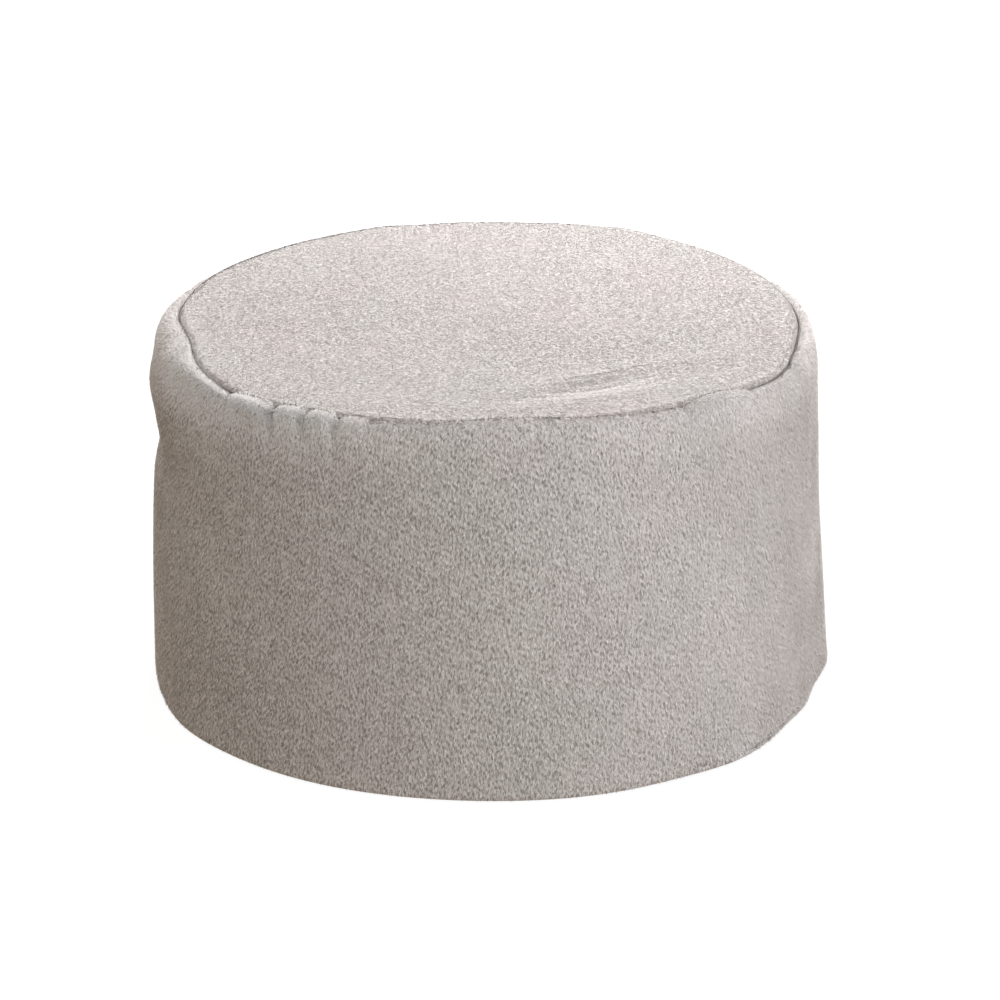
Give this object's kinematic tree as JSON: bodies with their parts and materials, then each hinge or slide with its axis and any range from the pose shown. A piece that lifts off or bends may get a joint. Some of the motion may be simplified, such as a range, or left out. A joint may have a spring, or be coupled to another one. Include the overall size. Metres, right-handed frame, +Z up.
{
  "type": "round pouf",
  "caption": "Low round floor pouf: a filled plush drum with a sewn-in crowned top panel, a gathered side band and a flat base.",
  "frame": {"origin": "middle of the base, on the floor", "axes": "+Z up; -Y is the side with the gathers, seen first; +X to the right of it"},
  "size_m": [0.5614, 0.552, 0.3156],
  "materials": {
    "band_plush": "short pile brushed down, matt",
    "top_plush": "short pile lying flat, matt",
    "base_plush": "short pile, matt"
  },
  "bodies": {
    "root": {"side_band": "band_plush", "top_panel": "top_plush", "base_panel": "base_plush"}
  },
  "joints": []
}
